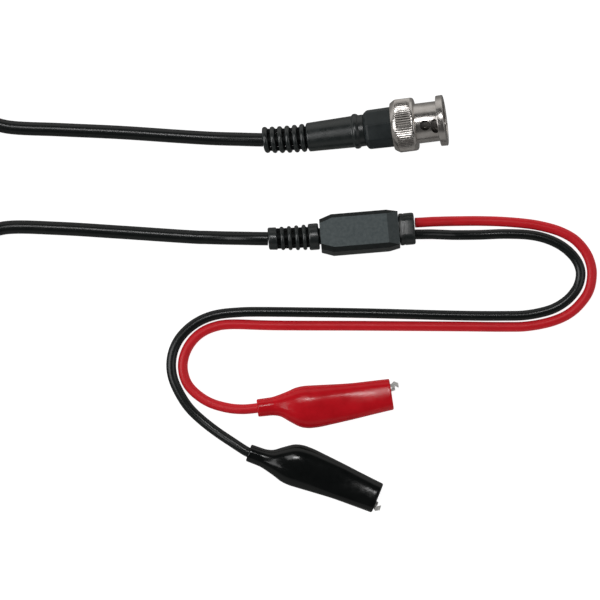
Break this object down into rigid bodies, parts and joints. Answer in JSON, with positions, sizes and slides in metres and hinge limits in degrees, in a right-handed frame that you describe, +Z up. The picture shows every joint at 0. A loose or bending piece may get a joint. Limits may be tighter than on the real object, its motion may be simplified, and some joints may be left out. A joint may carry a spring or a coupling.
{
  "type": "coaxial plug to spring clip test lead",
  "caption": "Coaxial cable with a bayonet plug and a splitter block, from which a red and a black lead run to spring clips in soft boots.",
  "frame": {"origin": "on the bench, below the middle of the box of the plug, splitter and clips", "axes": "+Z up from the bench; +X the way the plug points, towards the bends of the leads; +Y from the clips towards the plug"},
  "size_m": [0.2211, 0.119, 0.0154],
  "materials": {
    "black_cable": "semi-gloss extruded PVC jacket",
    "red_cable": "semi-gloss extruded PVC jacket",
    "black_rubber": "satin moulded PVC",
    "matte_black_plastic": "fine spark-eroded texture",
    "black_boot": "high-gloss soft PVC",
    "red_boot": "high-gloss soft PVC",
    "nickel": "bright nickel plate",
    "steel": "bright plated steel",
    "gold": "gold flash on brass",
    "copper": "stranded copper",
    "white_insulation": "PTFE",
    "seal_rubber": "silicone"
  },
  "bodies": {
    "root": {"plug_bend_relief": "black_rubber", "plug_grip_collar": "matte_black_plastic", "plug_body": "nickel", "cable_end_in_plug": "black_cable", "plug_crimp_ferrule": "nickel", "plug_dielectric": "white_insulation", "plug_centre_pin": "gold", "plug_gasket": "seal_rubber", "nut_retaining_ring": "steel", "nut_wave_washer": "steel", "splitter_upper_shell": "matte_black_plastic", "splitter_lower_shell": "matte_black_plastic", "splitter_bend_relief": "black_rubber", "splitter_lead_collar": "black_rubber", "cable_end_in_splitter": "black_cable", "core_wire": "copper", "braid_pigtail": "copper", "red_splice": "steel", "red_lead_tail": "red_cable", "black_splice": "steel", "black_lead_tail": "black_cable", "coax_from_plug": "black_cable", "coax_from_splitter": "black_cable", "coax_coil": "black_cable", "coil_tie": "black_rubber", "red_lead": "red_cable", "black_lead": "black_cable", "red_clip_boot": "red_boot", "red_clip_fixed_jaw": "steel", "red_clip_rivet": "steel", "red_clip_spring": "steel", "red_crimped_wire": "copper", "black_clip_boot": "black_boot", "black_clip_fixed_jaw": "steel", "black_clip_rivet": "steel", "black_clip_spring": "steel", "black_crimped_wire": "copper"},
    "nut_carrier": {"nut_thrust_washer": "steel"},
    "coupling_nut": {"nut": "nickel"},
    "red_jaw": {"red_clip_moving_jaw": "steel"},
    "black_jaw": {"black_clip_moving_jaw": "steel"}
  },
  "joints": [
    {"name": "nut_pull", "type": "slide", "parent": "root", "child": "nut_carrier", "axis": [0.9877, 0.1213, 0.0985], "range_m": [0, 0.0009], "stiffness_N_per_m": 2000, "deforming": ["nut_wave_washer"]},
    {"name": "nut_turn", "type": "hinge", "parent": "nut_carrier", "child": "coupling_nut", "pos_m": [0.01686, 0.04871, 0.00757], "axis": [0.9877, 0.1213, 0.0985], "continuous": true},
    {"name": "red_jaw_open", "type": "hinge", "parent": "root", "child": "red_jaw", "pos_m": [-0.00436, -0.02668, 0.0039], "axis": [0, 0, -1], "range_deg": [0, 22], "stiffness_Nm_per_rad": 0.03, "springref_deg": -28.65, "deforming": ["red_clip_boot", "red_clip_spring"]},
    {"name": "black_jaw_open", "type": "hinge", "parent": "root", "child": "black_jaw", "pos_m": [-0.00769, -0.04663, 0.0039], "axis": [0, 0, 1], "range_deg": [0, 22], "stiffness_Nm_per_rad": 0.03, "springref_deg": -28.65, "deforming": ["black_clip_boot", "black_clip_spring"]}
  ]
}
